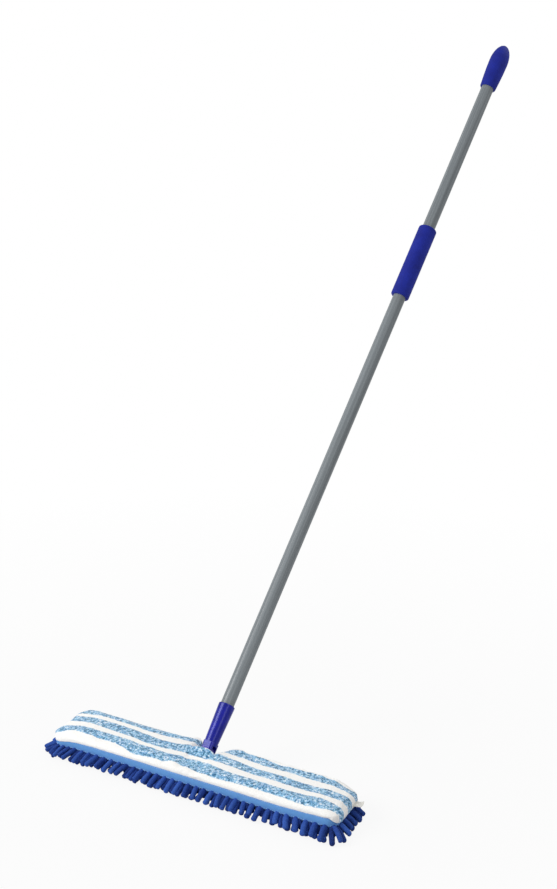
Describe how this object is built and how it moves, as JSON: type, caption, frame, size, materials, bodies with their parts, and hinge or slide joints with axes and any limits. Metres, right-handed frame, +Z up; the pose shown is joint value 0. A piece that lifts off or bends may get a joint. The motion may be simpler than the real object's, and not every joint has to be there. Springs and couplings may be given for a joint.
{
  "type": "flip dust mop",
  "caption": "Dust mop with a double-sided sleeve head, terry above and chenille pile below, on a two-way swivel that lets the head flip at the foot of a long grey pole with blue grips.",
  "frame": {"origin": "on the floor, at the tip of the pile strand under the middle of the head's front half", "axes": "X along the head, Y to the rear where the pole leans, Z up"},
  "size_m": [0.6618, 1.2052, 1.2016],
  "materials": {
    "grip_foam": "satin",
    "pole_paint": "satin",
    "socket_plastic": "gloss",
    "swivel_plastic": "gloss",
    "plug_plastic": "matte",
    "pin_steel": "satin",
    "frame_plastic": "matte",
    "foam": "matte",
    "terry": "matte",
    "tape": "matte",
    "chenille": "matte",
    "hook_tape": "matte",
    "loop_tape": "matte"
  },
  "bodies": {
    "handle": {"end_grip": "grip_foam", "pole_tube": "pole_paint", "mid_grip": "grip_foam", "pole_plug": "plug_plastic", "handle_socket": "socket_plastic", "cross_pin": "pin_steel", "cross_pin_caps": "swivel_plastic"},
    "swivel": {"swivel_block": "swivel_plastic"},
    "head": {"hinge_pin": "pin_steel", "pin_spacers": "frame_plastic", "frame_upper": "frame_plastic", "frame_lower": "frame_plastic", "top_wadding": "foam", "terry_face": "terry", "edge_tape": "tape", "backing_cloth": "terry", "under_pile_left": "chenille", "under_pile_right": "chenille", "under_pile_front": "chenille", "front_fringe": "chenille", "left_fringe": "chenille", "right_fringe": "chenille", "rear_fringe_left": "chenille", "rear_fringe_right": "chenille", "pull_tab": "terry", "closure_hook": "hook_tape", "closure_loop": "loop_tape"}
  },
  "joints": [
    {"name": "side_swing", "type": "hinge", "parent": "handle", "child": "swivel", "pos_m": [0, 0.04824, 0.04609], "axis": [0, 0.7254, -0.6884], "range_deg": [-30, 30]},
    {"name": "flip", "type": "hinge", "parent": "swivel", "child": "head", "pos_m": [0, 0.02965, 0.0265], "axis": [1, 0, 0], "range_deg": [-30, 120]}
  ]
}
